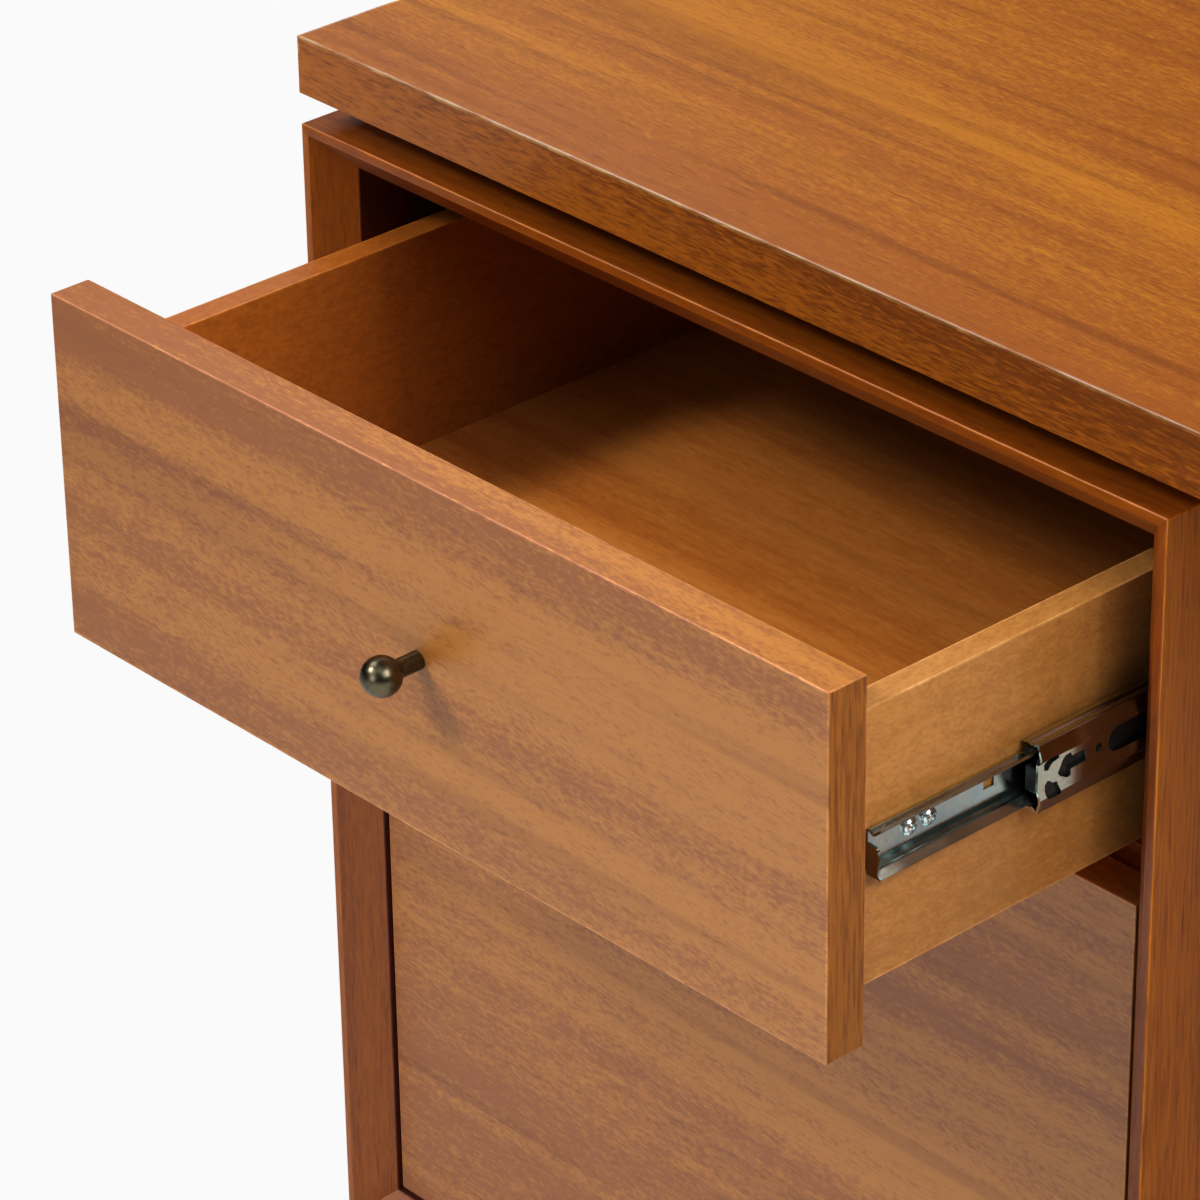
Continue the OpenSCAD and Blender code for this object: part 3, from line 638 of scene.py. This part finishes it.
# local mm: x away from the drawer box, y back from the middle member's front end, z up from the slide's centre
CATCH = [(4.3, 0.4), (9.3, 0.4), (9.3, 2.0), (8.2, 2.0), (8.2, 3.9), (4.3, 3.9)]
PLATE = [(1.4, -4.0), (3.0, -9.4), (13.0, -9.4), (16.0, -5.0), (34.0, -4.2), (68.0, -4.2), (73.0, -1.6),
         (73.0, 5.6), (68.0, 8.2), (1.4, 8.2)]
CAGE_END = [(3.6, 8.2), (4.2, 8.4), (5.2, 9.3), (6.2, 10.25), (6.6, 10.8), (6.6, 11.45), (3.2, 11.45), (2.95, 9.6), (3.1, 8.9)]
CAGE_END_LOW = [(3.2, 9.98), (6.6, 10.6), (6.6, 11.45), (3.2, 11.45)]     # clear of the drawer member's folded stop
CAGE = [(3.4, 8.35), (3.9, 8.35), (4.0, 10.1), (4.0, 11.9), (3.4, 11.9), (3.3, 10.1)]


def slide_inside(tag, body, xw, sign, yw, zw, catch_and_shade_mat, cage_mat):
    def world(x, y, z):
        return Vector(((xw + sign * x) * MM, (yw + y) * MM, (zw + z) * MM))

    # catch: a block in the mouth and the plate behind the web's cut-outs, black plastic that also stands in for the
    # deep shade there (painted shade)
    block = prism("block", CATCH, -4.9, 4.9, lambda a, b, h: world(a, b, h))
    plate = prism("plate", PLATE, 8.5, 9.1, lambda a, b, h: world(h, a, b))
    finish_piece(f"{tag}_catch", [block], body, catch_and_shade_mat, 0.0004)
    finish_piece(f"{tag}_catch_plate_and_shade", [plate], body, catch_and_shade_mat, 0.0002)
    ends, cages = [], []
    for up in (1, -1):
        ends.append(prism("end", CAGE_END if up > 0 else CAGE_END_LOW, 0.6, 7.5, lambda a, b, h: world(a, h, up * b)))
        cages.append(prism("cage", CAGE, 7.9, 214.0, lambda a, b, h: world(a, h, up * b)))
        for i in range(16):
            bm = bmesh.new()
            ball(bm, world(3.7, 14.0 + 12.8 * i, up * 10.1), 1.65 * MM)
            cages.append(bm)
    finish_piece(f"{tag}_cage_ends", ends, body, catch_and_shade_mat, 0.0004)
    finish_piece(f"{tag}_ball_cages", cages, body, cage_mat)


# black plastic for the catch and the cage ends; the catch pieces also stand in for the slide's deep shade (painted
# shade)
catch_black_and_shade = plastic("catch_plastic_and_shade", (0.012, 0.012, 0.012), 0.42, seed=3.0)
cage_steel = metal("cage_steel", (0.42, 0.41, 0.38), (0.55, 0.53, 0.48), 0.26, seed=8.0, axis="y")
for case, mirror in (("left", 1), ("right", -1)):
    for drawer in ("box", "file"):
        node = f"{case}_{drawer}_middle_slides"
        lo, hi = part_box(node)
        y_front, z_mid = lo[1] / MM, (lo[2] + hi[2]) / 2 / MM
        for hand, xw, sign in (("outer", -731.3, -1), ("inner", -335.7, 1)):
            slide_inside(f"{case}_{drawer}_{hand}_slide", f"{case}_{drawer}_middle", mirror * xw, mirror * sign, y_front, z_mid,
                         catch_black_and_shade, cage_steel)

# ------------------------------------------------------------------ floor, light
me = bpy.data.meshes.new("floor")
me.from_pydata([(-40, -40, -0.0004), (40, -40, -0.0004), (40, 40, -0.0004), (-40, 40, -0.0004)], [], [(0, 1, 2, 3)])
floor = link(bpy.data.objects.new("floor", me))
g = Tree("floor_paper")
fn = g.noise(g.vec("MULTIPLY", g.node("ShaderNodeTexCoord").outputs["Object"], (3, 3, 3)), detail=2.0)
fx = g.split(g.node("ShaderNodeTexCoord").outputs["Object"])[0]
paper = g.mix(fn, (0.86, 0.86, 0.86), (0.88, 0.88, 0.88))
g.put(g.bsdf.inputs["Base Color"], g.mix(g.span(fx, -2.1, -1.0, 0.45, 1.0, smooth=True), (0, 0, 0), paper))
g.bsdf.inputs["Roughness"].default_value = 0.9
g.bsdf.inputs["Specular IOR Level"].default_value = 0.1
# seen directly the paper is as even as the photo's background, with a soft dark patch where something stands on it
# painted contact shadow: the AO below dims the floor's camera-seen emission near anything standing on it
ao = g.node("ShaderNodeAmbientOcclusion", samples=8)
ao.inputs["Distance"].default_value = 0.12
em = g.node("ShaderNodeEmission")
g.put(em.inputs["Strength"], g.span(ao.outputs["AO"], 0.0, 1.0, 0.45, 0.963))
path = g.node("ShaderNodeLightPath")
both = g.node("ShaderNodeMixShader")
g.link(path.outputs["Is Camera Ray"], both.inputs[0])
g.link(g.bsdf.outputs[0], both.inputs[1])
g.link(em.outputs[0], both.inputs[2])
g.link(both.outputs[0], g.out.inputs["Surface"])
me.materials.append(g.mat)

BACKDROP = 0.963     # the photo's even white, before the view's tone curve
world = bpy.data.worlds.new("studio")
bpy.context.scene.world = world
world.use_nodes = True
wt = world.node_tree
wt.nodes.clear()
wo = wt.nodes.new("ShaderNodeOutputWorld")
bg = wt.nodes.new("ShaderNodeBackground")
bg2 = wt.nodes.new("ShaderNodeBackground")
lp = wt.nodes.new("ShaderNodeLightPath")
mx = wt.nodes.new("ShaderNodeMixShader")
bg.inputs[0].default_value = (1, 1, 1, 1)
bg.inputs[1].default_value = 0.03
bg2.inputs[0].default_value = (1, 1, 1, 1)
bg2.inputs[1].default_value = BACKDROP
wt.links.new(lp.outputs["Is Camera Ray"], mx.inputs[0])
wt.links.new(bg.outputs[0], mx.inputs[1])
wt.links.new(bg2.outputs[0], mx.inputs[2])
wt.links.new(mx.outputs[0], wo.inputs[0])


def area(name, loc, target, size, power, colour=(1, 1, 1), size_y=None, spread=180):
    ld = bpy.data.lights.new(name, "AREA")
    ld.shape = "RECTANGLE"
    ld.size = size
    ld.size_y = size_y or size
    ld.energy = power
    ld.color = colour
    ld.spread = math.radians(spread)
    o = link(bpy.data.objects.new(name, ld))
    o.location = loc
    o.rotation_euler = (Vector(target) - Vector(loc)).to_track_quat("-Z", "Y").to_euler()
    o.visible_camera = False
    return o


C = Vector((-0.53, -0.35, 0.63))


def softbox(name, az, el, dist, size, power, size_y=None):
    a, e = math.radians(az), math.radians(el)
    way = Vector((math.cos(e) * math.cos(a), math.cos(e) * math.sin(a), math.sin(e)))
    return area(name, C + dist * way, C, size, power, size_y=size_y)


softbox("key", 234, 40, 5.5, 1.1, 184)
softbox("front", 262, 38, 2.2, 1.0, 4)
softbox("front_low", 270, 12, 3.0, 1.3, 18)
softbox("front_high", 300, 62, 2.6, 1.3, 6)
softbox("right_front", 348, 38, 4.5, 2.2, 52)
softbox("right", 13, 40, 5.2, 2.7, 176)
softbox("back_right_low", 55, 14, 5.2, 3.2, 64)
softbox("back_left", 150, 40, 3.0, 1.3, 10)
softbox("left_high", 198, 52, 3.0, 1.3, 24)
softbox("rim", 50, 40, 5.2, 1.2, 39).data.color = (1.0, 0.96, 0.88)

scene = bpy.context.scene
scene.view_settings.view_transform = "Standard"
scene.view_settings.look = "None"
scene.view_settings.exposure = 0.0
scene.view_settings.gamma = 1 / 1.2      # deepens the shadows as in the photo
